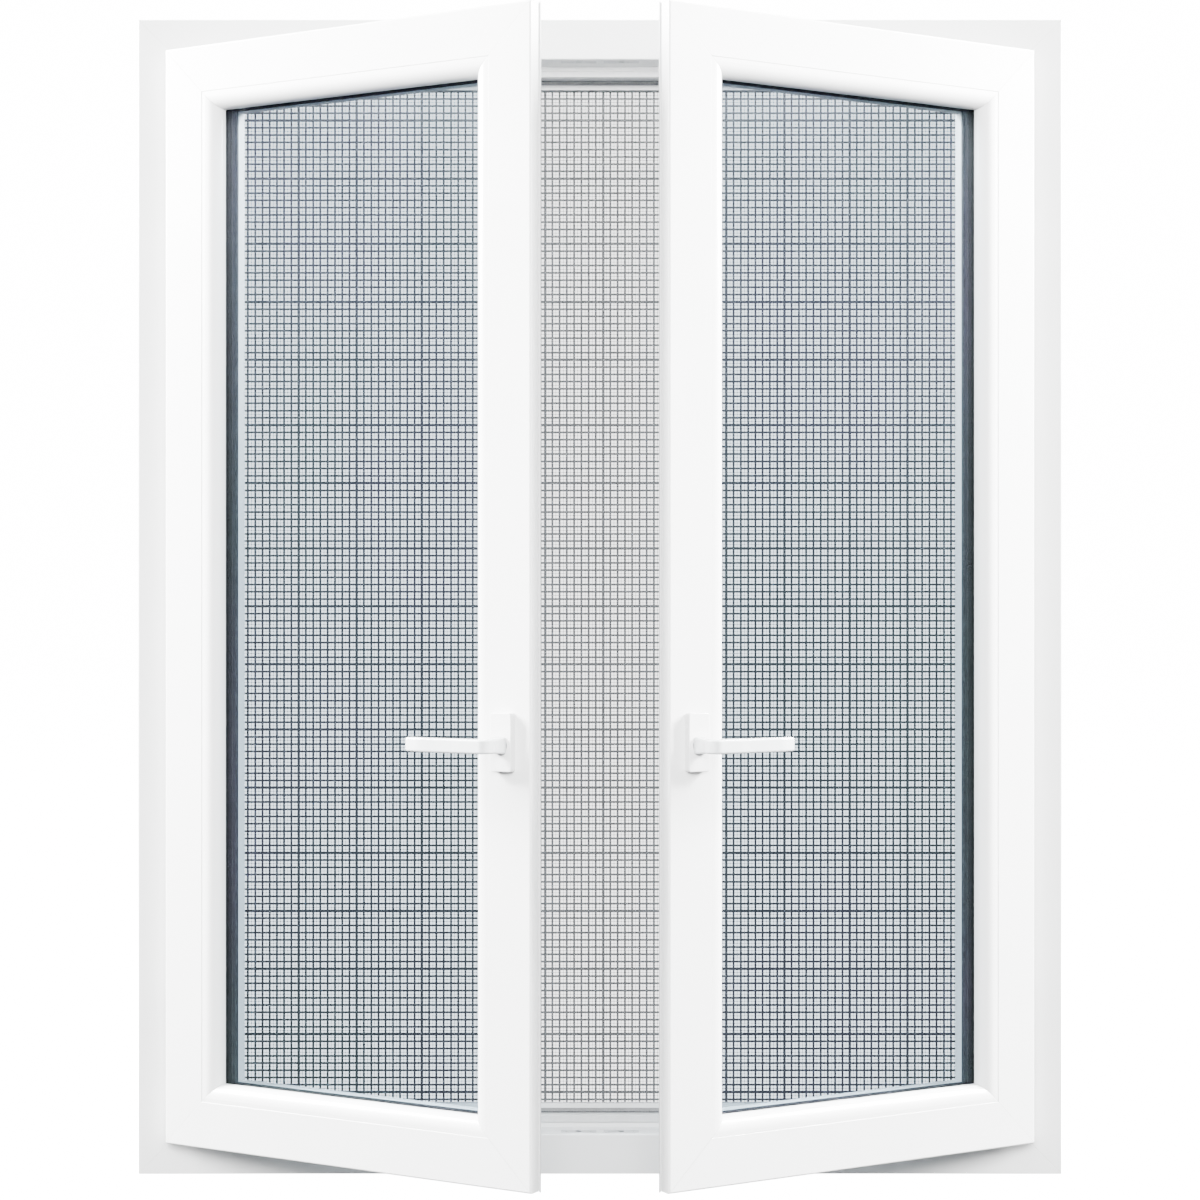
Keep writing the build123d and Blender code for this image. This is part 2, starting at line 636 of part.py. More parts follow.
def build_sash(hinges):
    bars = mitred_bars(sash_section(), SASH_WIDE, SASH_TALL)
    steel = steel_tubes(tube_section(*sash_steel_place(), 1.5), SASH_WIDE, SASH_TALL)
    cuts = stile_cuts()
    nodes, handle_screws = handle()
    hinge_screws = [screw_ for one in hinges for screw_ in one["sash_screws"]]
    plate_a0, plate_a1, plate_d0, plate_d1 = FACEPLATE_SLOT
    plate_screws = [
        screw((from_meeting(plate_a0 + 0.2), BOLT_D, z), (-1, 0, 0), 1.75, 11, sunk=True)
        for z, _ in FACEPLATE_SCREWS
    ]
    bars["left"] -= hinge_screws + [one["notch"] for one in hinges]
    bars["right"] -= cuts + plate_screws
    for side in ("top", "right", "bottom"):
        bars[side] -= meeting_slope()
    steel["right"] -= cuts[:1]
    faceplate = block(
        from_meeting(plate_a1), from_meeting(plate_a0 + 0.2), plate_d0 + 0.3, plate_d1 - 0.3, 30, SASH_TALL - 30
    )
    top_rod, bottom_rod = bolt_rods()
    nodes.update(glazing())
    nodes.update({
        "hinge_stile": [bars["left"]],
        "meeting_stile": [bars["right"]],
        "top_rail": [bars["top"]],
        "bottom_rail": [bars["bottom"]],
        "reinforcements": list(steel.values()),
        "glazing_beads": bead_bars(),
        "sash_seal": sash_seals(hinges),
        "hinge_leaves": [one["sash_leaf"] for one in hinges],
        "sash_screws": hinge_screws + plate_screws + handle_screws,
        "bolt_faceplate": [faceplate - plate_screws],
        "gear_case": [gear_case() - handle_screws],
        "drive_pinion": [pinion()],
        "top_bolt_rod": [top_rod],
        "bottom_bolt_rod": [bottom_rod],
    })
    return nodes


def write(name, shapes):
    export_step(Compound(solids_of(shapes)), f"parts/{name}.step")


os.makedirs("parts", exist_ok=True)
all_hinges = [hinge(height) for height in HINGE_HEIGHTS]
for node, pieces in build_frame(all_hinges).items():
    write(node, pieces)
for node, pieces in build_sash(all_hinges).items():
    left = [swung(piece) for piece in pieces]
    write(f"left_{node}", left)
    write(f"right_{node}", [mirror(piece, about=Plane.YZ) for piece in left])
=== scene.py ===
import json
import math

import bpy
import numpy as np
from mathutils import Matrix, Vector


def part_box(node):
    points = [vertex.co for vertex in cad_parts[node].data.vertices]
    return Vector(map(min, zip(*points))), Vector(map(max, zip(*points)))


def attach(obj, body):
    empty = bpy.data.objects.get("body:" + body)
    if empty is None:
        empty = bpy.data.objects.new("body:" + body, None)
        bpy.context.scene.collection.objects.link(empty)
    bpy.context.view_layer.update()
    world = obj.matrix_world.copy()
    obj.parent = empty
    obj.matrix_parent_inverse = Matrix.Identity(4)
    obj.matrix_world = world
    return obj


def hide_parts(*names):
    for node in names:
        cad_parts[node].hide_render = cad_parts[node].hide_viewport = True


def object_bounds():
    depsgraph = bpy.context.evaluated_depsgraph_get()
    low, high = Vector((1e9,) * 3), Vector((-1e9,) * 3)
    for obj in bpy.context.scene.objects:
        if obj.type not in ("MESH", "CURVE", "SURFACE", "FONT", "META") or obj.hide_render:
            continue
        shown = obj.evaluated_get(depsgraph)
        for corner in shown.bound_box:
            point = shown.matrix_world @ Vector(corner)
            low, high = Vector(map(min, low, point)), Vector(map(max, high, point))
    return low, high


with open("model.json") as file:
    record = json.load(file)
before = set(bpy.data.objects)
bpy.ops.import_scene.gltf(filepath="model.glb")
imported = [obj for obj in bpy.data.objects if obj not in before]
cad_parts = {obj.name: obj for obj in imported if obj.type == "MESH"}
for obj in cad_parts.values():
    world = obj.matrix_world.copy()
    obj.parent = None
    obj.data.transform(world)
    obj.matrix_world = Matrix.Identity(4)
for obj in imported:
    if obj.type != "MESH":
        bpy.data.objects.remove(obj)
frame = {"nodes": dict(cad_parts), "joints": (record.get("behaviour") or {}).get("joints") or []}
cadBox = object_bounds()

scene = bpy.context.scene
nodes = frame["nodes"]
print("window loaded:", len(nodes), "parts")


# Node helpers

class Signal:
    # a socket that can stand in a sum: arithmetic on it adds Math nodes
    def __init__(self, owner, socket):
        self.owner = owner
        self.socket = socket

    def out(self, name):
        return Signal(self.owner, self.socket.node.outputs[name])

    def __add__(self, other):
        return self.owner.maths("ADD", self, other)

    def __radd__(self, other):
        return self.owner.maths("ADD", other, self)

    def __sub__(self, other):
        return self.owner.maths("SUBTRACT", self, other)

    def __rsub__(self, other):
        return self.owner.maths("SUBTRACT", other, self)

    def __mul__(self, other):
        return self.owner.maths("MULTIPLY", self, other)

    def __rmul__(self, other):
        return self.owner.maths("MULTIPLY", other, self)

    def __truediv__(self, other):
        return self.owner.maths("DIVIDE", self, other)

    def __rtruediv__(self, other):
        return self.owner.maths("DIVIDE", other, self)

    def __abs__(self):
        return self.owner.maths("ABSOLUTE", self)


class NodeKit:
    # adds nodes to one shader, world or geometry tree
    def __init__(self, tree):
        self.tree = tree

    def add(self, kind, settings=None, inputs=None, output=0):
        node = self.tree.nodes.new(kind)
        for name, value in (settings or {}).items():
            if name == "stops":
                self.setStops(node.color_ramp, value)
            else:
                setattr(node, name, value)
        for key, value in (inputs or {}).items():
            for one in value if isinstance(value, list) else [value]:
                if isinstance(one, Signal):
                    self.tree.links.new(one.socket, node.inputs[key])
                else:
                    node.inputs[key].default_value = one
        return Signal(self, node.outputs[output]) if node.outputs else None

    def setStops(self, ramp, stops):
        while len(ramp.elements) < len(stops):
            ramp.elements.new(0.5)
        for element, (place, colour) in zip(ramp.elements, stops):
            element.position = place
            element.color = (*colour, 1)

    def maths(self, operation, *values):
        return self.add("ShaderNodeMath", {"operation": operation}, dict(enumerate(values)))

    def smooth(self, value, low, high):
        # 0 below low and 1 above high, with a soft step between
        inputs = {"Value": value, "From Min": low, "From Max": high}
        return self.add("ShaderNodeMapRange", {"interpolation_type": "SMOOTHSTEP"}, inputs)

    def split(self, vector):
        parts = self.add("ShaderNodeSeparateXYZ", None, {0: vector})
        return parts, parts.out("Y"), parts.out("Z")

    def join(self, x, y, z):
        return self.add("ShaderNodeCombineXYZ", None, {0: x, 1: y, 2: z})

    def either(self, factor, low, high):
        return low + factor * (high - low)


class Finish(NodeKit):
    # one material: fixed values go straight onto the shader, patterns are fed to it
    def __init__(self, name, fixed):
        self.material = bpy.data.materials.new(name)
        self.material.use_nodes = True
        super().__init__(self.material.node_tree)
        self.shader = self.tree.nodes["Principled BSDF"]
        for socket, value in fixed.items():
            self.shader.inputs[socket].default_value = value

    def feed(self, socket, signal):
        self.tree.links.new(signal.socket, self.shader.inputs[socket])

    def point(self, spot):
        # object coordinates brought into a body's own corner: x across, y deep, z up
        raw = self.add("ShaderNodeTexCoord", output="Object")
        inputs = {
            "Vector": raw, "Location": spot["shift"], "Rotation": (0, 0, spot["turn"]),
            "Scale": (spot["hand"], 1, 1),
        }
        return self.add("ShaderNodeMapping", {"vector_type": "POINT"}, inputs)

    def bars(self, spot):
        # distances from the body's edges, which tell its upright bars from its cross bars
        x, y, z = self.split(self.point(spot))
        fromSide = self.maths("MINIMUM", x, spot["wide"] - x)
        fromEnd = self.maths("MINIMUM", z, spot["tall"] - z)
        upright = self.maths("LESS_THAN", fromSide, fromEnd)
        return (x, y, z), fromSide, fromEnd, upright

    def stretched(self, vector, scale):
        return self.add("ShaderNodeVectorMath", {"operation": "MULTIPLY"}, {0: vector, 1: scale})

    def noise(self, vector, scale, detail=2.0, roughness=0.5):
        inputs = {"Vector": vector, "Scale": scale, "Detail": detail, "Roughness": roughness}
        return self.add("ShaderNodeTexNoise", None, inputs)

    def blend(self, factor, first, second):
        return self.add("ShaderNodeMix", {"data_type": "RGBA"}, {0: factor, 6: first, 7: second}, 2)

    def ramp(self, value, stops):
        return self.add("ShaderNodeValToRGB", {"stops": stops}, {0: value})

    def bump(self, height, distance, under=None):
        inputs = {"Height": height, "Distance": distance, "Strength": 1.0}
        if under is not None:
            inputs["Normal"] = under
        return self.add("ShaderNodeBump", None, inputs)


def solid(colour):
    return (*colour, 1)


# Where each body stands

places = {
    "sashWidth": 0.554,
    "hingeDepth": 0.011,  # hinge axis behind the sash's room face
    "frameFace": 0.041,  # room face in front of the frame's middle
}


def bodySpot(side):
    hinge = next(joint for joint in frame["joints"] if joint["name"] == side + "_sash_hinge")
    hand = 1 if hinge["pos_m"][0] < 0 else -1
    turn = -math.radians(hinge["range_deg"][0])
    x, y = hand * hinge["pos_m"][0], hinge["pos_m"][1]
    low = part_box(side + "_bottom_rail")[0].z
    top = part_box(side + "_top_rail")[1].z
    shift = (
        y * math.sin(turn) - x * math.cos(turn),
        places["hingeDepth"] - x * math.sin(turn) - y * math.cos(turn),
        -low,
    )
    return {"shift": shift, "turn": turn, "hand": hand, "wide": places["sashWidth"], "tall": top - low}


wide, tall = cadBox[1][0] - cadBox[0][0], cadBox[1][2] - cadBox[0][2]
spots = {
    "frame": {"shift": (wide / 2, places["frameFace"], 0), "turn": 0, "hand": 1, "wide": wide, "tall": tall},
    "left": bodySpot("left"),
    "right": bodySpot("right"),
}


# Finishes

def vinyl(name, spot, look):
    # welded white profile: a seam across each corner, drawn lines along each bar
    finish = Finish(name, {"Coat Roughness": 0.12, "Coat Weight": look["coat"], "Specular IOR Level": 0.5})
    (x, y, z), fromSide, fromEnd, upright = finish.bars(spot)
    across = finish.either(upright, fromEnd, fromSide)
    along = finish.either(upright, x, z)
    seam = 1 - finish.smooth(abs(fromSide - fromEnd), look["seam"] * 0.4, look["seam"])

    fine = look["lineScale"]
    drawn = finish.join(across * fine, y * fine, along * look["lineLength"] + upright * look["barOffset"])
    lines = finish.noise(drawn, 1.0, 3.0)
    clouds = finish.noise(finish.join(across, y, along), look["cloudScale"], 4.0)
    specks = finish.noise(finish.join(across, y, along), look["speckScale"], 1.0)
    tone = finish.ramp(clouds, [(0.3, look["shade"]), (0.7, look["colour"])])
    speckled = finish.smooth(specks, *look["speckEdge"]) * look["speckShare"]
    tone = finish.blend(speckled, tone, solid(look["speck"]))
    finish.feed("Base Color", finish.blend(seam * look["seamShare"], tone, solid(look["seamTone"])))
    finish.feed("Roughness", look["rough"] + (lines - 0.5) * 0.12 + (clouds - 0.5) * 0.1 + seam * 0.2)
    surface = finish.bump(lines * 0.7 + specks * 0.3, look["lineDepth"])
    finish.feed("Normal", finish.bump(1 - seam, look["seamDepth"], surface))
    return finish.material


def lacquer(name, look):
    # powder coat with its faint orange peel
    finish = Finish(name, {"Coat Weight": look["coat"], "Coat Roughness": 0.08})
    raw = finish.add("ShaderNodeTexCoord", output="Object")
    peel = finish.noise(raw, look["peelScale"], 2.0, 0.4)
    handling = finish.noise(raw, look["handlingScale"], 3.0)
    finish.feed("Base Color", finish.ramp(handling, [(0.35, look["shade"]), (0.65, look["colour"])]))
    finish.feed("Roughness", look["rough"] + (handling - 0.5) * 0.16)
    finish.feed("Normal", finish.bump(peel, look["peelDepth"]))
    return finish.material


def zinc(name, look, stretch):
    # plated steel, rolled or drawn along one way, with a faint bright-blue passivation
    finish = Finish(name, {"Metallic": 1.0})
    raw = finish.add("ShaderNodeTexCoord", output="Object")
    drawn = finish.noise(finish.stretched(raw, stretch), 1.0, 4.0, 0.65)
    stain = finish.noise(raw, look["stainScale"], 4.0)
    tone = finish.ramp(stain, [(0.3, look["shade"]), (0.55, look["colour"]), (0.75, look["tint"])])
    scratched = finish.smooth(drawn, *look["scratchEdge"]) * look["scratchShare"]
    finish.feed("Base Color", finish.blend(scratched, tone, solid(look["scratch"])))
    finish.feed("Roughness", look["rough"] + (drawn - 0.5) * 0.3 + (stain - 0.5) * 0.15)
    finish.feed("Normal", finish.bump(drawn, look["depth"]))
    return finish.material


def galvanised(name, look):
    # hot-dip steel with crystal spangles of different brightness
    finish = Finish(name, {"Metallic": 1.0})
    raw = finish.add("ShaderNodeTexCoord", output="Object")
    warped = finish.noise(raw, look["warpScale"], 2.0)
    inputs = {"Vector": raw, "Scale": look["crystalScale"], "Randomness": 1.0}
    crystals = finish.add("ShaderNodeTexVoronoi", {"feature": "F1"}, inputs)
    cell = finish.split(crystals.out("Color"))[0]
    tone = finish.ramp(cell * 0.8 + warped * 0.2, [(0.1, look["shade"]), (0.9, look["colour"])])
    finish.feed("Base Color", tone)
    finish.feed("Roughness", look["rough"] + (cell - 0.5) * 0.2)
    finish.feed("Normal", finish.bump(crystals, look["depth"]))
    return finish.material


def rubber(name, look, spot):
    # extruded seal: matt, with fine lines along it and a little dust
    finish = Finish(name, {"Specular IOR Level": 0.35})
    (x, y, z), fromSide, fromEnd, upright = finish.bars(spot)
    across = finish.either(upright, fromEnd, fromSide)
    ribs = finish.noise(finish.join(across * look["ribScale"], y * look["ribScale"], 0.0), 1.0, 2.0)
    dust = finish.noise(finish.join(x, y, z), look["dustScale"], 4.0, 0.7)
    finish.feed("Base Color", finish.ramp(dust, [(0.4, look["colour"]), (0.8, look["dust"])]))
    finish.feed("Roughness", look["rough"] + (dust - 0.5) * 0.25)
    finish.feed("Normal", finish.bump(ribs, look["depth"]))
    return finish.material


def spacer(name, look, spot):
    # warm-edge spacer bar: matt, with a row of fine vent holes along its middle, painted darker as painted
    # shade in their hollows
    finish = Finish(name, {"Specular IOR Level": 0.1})
    (x, y, z), fromSide, fromEnd, upright = finish.bars(spot)
    along = finish.either(upright, x, z)
    step = finish.maths("FLOORED_MODULO", along, look["holeStep"]) - look["holeStep"] / 2
    off = y - look["rowDepth"]
    radius = finish.maths("SQRT", step * step + off * off)
    hole = 1 - finish.smooth(radius, look["hole"] * 0.7, look["hole"])
    grain = finish.noise(finish.join(x, y, z), look["grainScale"], 3.0)
    edges = finish.smooth(abs(off), look["lineOff"] * 0.93, look["lineOff"])
    tone = finish.ramp(grain, [(0.3, look["shade"]), (0.7, look["colour"])])
    tone = finish.blend(edges * 0.5, tone, solid(look["edge"]))
    # the holes' darker colour is painted shade
    finish.feed("Base Color", finish.blend(hole, tone, solid(look["holeShade"])))
    finish.feed("Roughness", look["rough"] + (grain - 0.5) * 0.2)
    finish.feed("Normal", finish.bump(grain * 0.2 - hole, look["depth"]))
    return finish.material


def pile(name, look):
    # woven brush strip: many fine upright fibres
    finish = Finish(name, {"Sheen Weight": 0.3})
    raw = finish.add("ShaderNodeTexCoord", output="Object")
    fibres = finish.noise(raw, look["fibreScale"], 2.0)
    tufts = finish.noise(raw, look["tuftScale"], 3.0)
    tone = finish.ramp(fibres * 0.6 + tufts * 0.4, [(0.35, look["shade"]), (0.65, look["colour"])])
    finish.feed("Base Color", tone)
    finish.feed("Roughness", look["rough"] + (tufts - 0.5) * 0.1)
    finish.feed("Normal", finish.bump(fibres, look["depth"]))
    return finish.material


def moulded(name, look):
    # injection moulded part with a fine spark-eroded texture
    finish = Finish(name, {"Specular IOR Level": 0.45})
    raw = finish.add("ShaderNodeTexCoord", output="Object")
    spark = finish.noise(raw, look["sparkScale"], 3.0, 0.6)
    flow = finish.noise(raw, look["flowScale"], 3.0)
    finish.feed("Base Color", finish.ramp(flow, [(0.3, look["shade"]), (0.7, look["colour"])]))
    finish.feed("Roughness", look["rough"] + (spark - 0.5) * 0.2)
    finish.feed("Normal", finish.bump(spark, look["depth"]))
    return finish.material


def wire(name, look):
    # grey-coated wire: the coat is thin where strands rub
    finish = Finish(name, {"Specular IOR Level": 0.3})
    raw = finish.add("ShaderNodeTexCoord", output="Object")
    coat = finish.noise(raw, look["coatScale"], 3.0)
    patches = finish.noise(raw, look["patchScale"], 3.0)
    tone = finish.ramp(patches, [(0.35, look["shade"]), (0.65, look["colour"])])
    worn = finish.smooth(coat, *look["wornEdge"])
    finish.feed("Base Color", finish.blend(worn * look["wornShare"], tone, solid(look["bare"])))
    finish.feed("Roughness", look["rough"] + (coat - 0.5) * 0.3)
    finish.feed("Metallic", look["metal"] * worn + 0.1)
    finish.feed("Normal", finish.bump(coat, look["depth"]))
    return finish.material


def glass(name, look):
    # coated double glazing: clear with a blue cast, and a faint reflection that drifts from lavender to teal
    finish = Finish(name, {"Metallic": look["metal"], "Roughness": look["rough"], "IOR": look["index"]})
    raw = finish.add("ShaderNodeTexCoord", output="Object")
    drift = finish.noise(finish.stretched(raw, look["driftStretch"]), look["driftScale"], 2.0, 0.45)
    finish.feed("Base Color", finish.ramp(drift, look["tints"]))
    rim = finish.add("ShaderNodeFresnel", None, {"IOR": look["index"]})
    clear = finish.add("ShaderNodeBsdfTransparent", None, {"Color": solid(look["cast"])})
    sheen = Signal(finish, finish.shader.outputs["BSDF"])
    shares = {0: look["veil"] + rim * look["rim"], 1: clear, 2: sheen}
    surface = finish.add("ShaderNodeMixShader", None, shares)
    finish.tree.links.new(surface.socket, finish.tree.nodes["Material Output"].inputs["Surface"])
    return finish.material


def haze(name, look):
    # the finest threads between the wires, too thin to see one by one
    finish = Finish(name, {"Alpha": look["veil"], "Specular IOR Level": 0.1})
    raw = finish.add("ShaderNodeTexCoord", output="Object")
    threads = finish.noise(raw, look["threadScale"], 3.0)
    finish.feed("Base Color", finish.ramp(threads, [(0.3, look["shade"]), (0.7, look["colour"])]))
    finish.feed("Roughness", look["rough"] + (threads - 0.5) * 0.2)
    return finish.material


vinylLook = {
    "colour": (0.86, 0.862, 0.858), "shade": (0.83, 0.833, 0.83), "speck": (0.74, 0.74, 0.73),
    "seamTone": (0.62, 0.62, 0.6), "seam": 0.0006, "seamDepth": 0.0003, "lineDepth": 0.00003,
    "rough": 0.3, "coat": 0.25, "lineScale": 1400, "lineLength": 9, "barOffset": 50, "cloudScale": 7.0,
    "speckScale": 1100.0, "speckEdge": (0.72, 0.8), "speckShare": 0.25, "seamShare": 0.35,
}
# frame bars: the sash vinyl painted a little darker, a painted shade standing for the lesser light on the
# frame faces
frameShadedLook = {**vinylLook, "colour": (0.82, 0.822, 0.818), "shade": (0.79, 0.793, 0.79)}
lacquerLook = {
    "colour": (0.86, 0.862, 0.86), "shade": (0.82, 0.823, 0.82), "rough": 0.26, "coat": 0.5,
    "peelDepth": 0.00005, "peelScale": 620.0, "handlingScale": 38.0,
}
# the lever: the white lacquer painted darker and greyer, a painted shade over the whole lever
leverShadedLook = {**lacquerLook, "colour": (0.7, 0.722, 0.73), "shade": (0.65, 0.672, 0.68)}
zincLook = {
    "colour": (0.56, 0.575, 0.59), "shade": (0.44, 0.45, 0.46), "tint": (0.55, 0.59, 0.64),
    "scratch": (0.72, 0.73, 0.74), "rough": 0.34, "depth": 0.00002, "stainScale": 55.0,
    "scratchEdge": (0.62, 0.75), "scratchShare": 0.4,
}
galvanisedLook = {
    "colour": (0.62, 0.635, 0.65), "shade": (0.38, 0.39, 0.4), "rough": 0.42, "depth": 0.00003,
    "warpScale": 60.0, "crystalScale": 110.0,
}
blackLook = {
    "colour": (0.018, 0.019, 0.02), "dust": (0.07, 0.07, 0.068), "rough": 0.68, "depth": 0.00008,
    "ribScale": 3000, "dustScale": 160.0,
}
greyLook = {**blackLook, "colour": (0.54, 0.545, 0.55), "dust": (0.62, 0.62, 0.615), "rough": 0.66}
spacerLook = {
    "colour": (0.0095, 0.0085, 0.0072), "shade": (0.0075, 0.0068, 0.0058), "edge": (0.015, 0.0138, 0.012),
    "holeShade": (0.004, 0.004, 0.004), "holeStep": 0.003, "hole": 0.0004, "rowDepth": 0.036,
    "lineOff": 0.0068, "rough": 0.6, "depth": 0.0002, "grainScale": 900.0,
}
pileLook = {
    "colour": (0.12, 0.125, 0.13), "shade": (0.04, 0.042, 0.045), "rough": 0.85, "depth": 0.0003,
    "fibreScale": 2200.0, "tuftScale": 420.0,
}
capLook = {
    "colour": (0.82, 0.823, 0.82), "shade": (0.78, 0.783, 0.78), "rough": 0.42, "depth": 0.00003,
    "sparkScale": 1500.0, "flowScale": 45.0,
}
packerLook = {
    **capLook, "colour": (0.05, 0.16, 0.42), "shade": (0.035, 0.12, 0.34), "rough": 0.5, "depth": 0.00004,
}
wireLook = {
    "colour": (0.115, 0.119, 0.124), "shade": (0.095, 0.099, 0.103), "bare": (0.36, 0.36, 0.36),
    "metal": 0.5, "rough": 0.55, "depth": 0.00004, "coatScale": 240.0, "patchScale": 9.0,
    "wornEdge": (0.66, 0.74), "wornShare": 0.3,
}
glassLook = {
    "tints": [
        (0.3, (0.27, 0.37, 0.39)), (0.46, (0.3, 0.36, 0.43)), (0.6, (0.36, 0.36, 0.5)),
        (0.75, (0.28, 0.36, 0.42)),
    ],
    "metal": 0.9, "rough": 0.04, "veil": 0.03, "rim": 0.35, "cast": (0.946, 0.979, 1.0),
    "index": 1.5, "driftScale": 3.2, "driftStretch": (1.0, 1.0, 0.7),
}
hazeLook = {
    "colour": (0.22, 0.225, 0.23), "shade": (0.18, 0.185, 0.19), "rough": 0.8, "veil": 0.05,
    "threadScale": 90.0,
}

shared = {
    "zincPlate": zinc("zincPlate", zincLook, (1800, 1800, 60)),
    "zincScrew": zinc("zincScrew", zincLook, (900, 900, 900)),
    "galvanised": galvanised("galvanised", galvanisedLook),
    "lacquer": lacquer("whiteLacquer", lacquerLook),
    # the lever's lacquer is the darker copy, with painted shade
    "leverLacquer": lacquer("leverLacquer", leverShadedLook),
    "pile": pile("brushPile", pileLook),
    "cap": moulded("whiteCap", capLook),
    "packer": moulded("bluePacker", packerLook),
    "wire": wire("netWire", wireLook),
    "haze": haze("netThreads", hazeLook),
    "glass": glass("coatedGlass", glassLook),
}

frameFinishes = {
    # the frame's vinyl is the darker copy of the sash vinyl, with painted shade
    "vinyl": vinyl("frameVinyl", spots["frame"], frameShadedLook),
    "greyRubber": rubber("frameSealRubber", greyLook, spots["frame"]),
    "blackRubber": rubber("splineRubber", blackLook, spots["frame"]),
}
frameParts = {
    "frame_left_jamb": "vinyl", "frame_right_jamb": "vinyl", "frame_head": "vinyl", "frame_sill": "vinyl",
    "screen_frame": "lacquer", "frame_reinforcements": "galvanised", "frame_seal": "greyRubber",
    "bolt_keep_plates": "zincPlate", "drain_caps": "cap", "screen_hooks": "lacquer",
    "frame_screws": "zincScrew",
    "screen_brush_seal": "pile", "screen_spline": "blackRubber", "screen_mesh": "haze",
    "hinge_frame_leaves": "lacquer", "hinge_pins": "zincScrew",
}
sashParts = {
    "hinge_stile": "vinyl", "meeting_stile": "vinyl", "top_rail": "vinyl", "bottom_rail": "vinyl",
    "glazing_beads": "vinyl", "reinforcements": "galvanised", "glass_panes": "glass",
    "glass_spacer": "spacer",
    "glazing_gaskets": "blackRubber", "glazing_packers": "packer", "sash_seal": "greyRubber",
    "hinge_leaves": "lacquer", "sash_screws": "zincScrew", "bolt_faceplate": "zincPlate",
    "gear_case": "galvanised", "handle_base": "zincPlate", "handle_cover": "lacquer",
    "handle_lever": "leverLacquer",
    "handle_spindle": "zincScrew", "drive_pinion": "zincScrew", "top_bolt_rod": "zincPlate",
    "bottom_bolt_rod": "zincPlate",
}


def dress(node, material):
    mesh = nodes[node].data
    mesh.materials.clear()
    mesh.materials.append(material)


for part, finishName in frameParts.items():
    dress(part, {**shared, **frameFinishes}[finishName])
for side in ("left", "right"):
    spot = spots[side]
    sashFinishes = {
        "vinyl": vinyl(side + "SashVinyl", spot, vinylLook),
        "blackRubber": rubber(side + "GasketRubber", blackLook, spot),
        "greyRubber": rubber(side + "SealRubber", greyLook, spot),
        "spacer": spacer(side + "Spacer", spacerLook, spot),
    }
    for part, finishName in sashParts.items():
        dress(side + "_" + part, {**shared, **sashFinishes}[finishName])
print("finishes made:", len(bpy.data.materials))


# Geometry trees

class GeometryRecipe(NodeKit):
    # a geometry tree with named inputs
    kinds = {
        "float": "NodeSocketFloat", "int": "NodeSocketInt", "vector": "NodeSocketVector",
        "material": "NodeSocketMaterial",
    }

    def __init__(self, name, inputs):
        super().__init__(bpy.data.node_groups.new(name, "GeometryNodeTree"))
        self.tree.interface.new_socket("Geometry", in_out="OUTPUT", socket_type="NodeSocketGeometry")
        self.tree.interface.new_socket("Geometry", in_out="INPUT", socket_type="NodeSocketGeometry")
        for label, kind in inputs.items():
            self.tree.interface.new_socket(label, in_out="INPUT", socket_type=self.kinds[kind])
        self.entry = self.add("NodeGroupInput")

    def given(self, label):
        return self.entry.out(label)

    def box(self, size, counts):
        inputs = {"Size": size, "Vertices X": counts[0], "Vertices Y": counts[1], "Vertices Z": counts[2]}
        return self.add("GeometryNodeMeshCube", None, inputs)

    def moved(self, geometry, shift=(0, 0, 0), turn=(0, 0, 0)):
        inputs = {"Geometry": geometry, "Translation": shift, "Rotation": turn}
        return self.add("GeometryNodeTransform", None, inputs)

    def scattered(self, points, shape, **others):
        return self.add("GeometryNodeInstanceOnPoints", None, {"Points": points, "Instance": shape, **others})

    def realized(self, geometry):
        return self.add("GeometryNodeRealizeInstances", None, {"Geometry": geometry})

    def joined(self, *parts):
        return self.add("GeometryNodeJoinGeometry", None, {"Geometry": list(parts)})

    def finished(self, geometry):
        inputs = {"Geometry": geometry, "Material": self.given("Material")}
        whole = self.add("GeometryNodeSetMaterial", None, inputs)
        self.add("NodeGroupOutput", None, {"Geometry": whole})
        return self.tree


def grow(name, tree, values, points=None):
    # runs a geometry tree on a host mesh and keeps the result as a plain mesh
    host = bpy.data.objects.new(name + "Host", points or bpy.data.meshes.new(name + "Seed"))
    scene.collection.objects.link(host)
    modifier = host.modifiers.new("grow", "NODES")
    modifier.node_group = tree
    for item in tree.interface.items_tree:
        if item.in_out == "INPUT" and item.name in values:
            modifier[item.identifier] = values[item.name]
    evaluated = host.evaluated_get(bpy.context.evaluated_depsgraph_get())
    mesh = bpy.data.meshes.new_from_object(evaluated)
    host.modifiers.remove(modifier)
    bpy.data.objects.remove(host)
    mesh.name = name
    piece = bpy.data.objects.new(name, mesh)
    scene.collection.objects.link(piece)
    return piece


# Insect net

net = {
    "pitch": 0.00969, "width": 0.0028, "thickness": 0.0007, "lift": 0.00036, "fine": 0.0006,
    "heavyWidth": 1.3, "heavyStep": 8.4, "wander": 0.0002,
    "uprights": (-55, 110), "crosswires": (-69, 142),  # first one and how many, counted from a heavy crossing
    "crossing": (0.0042, 0.05375, 0.737),
}


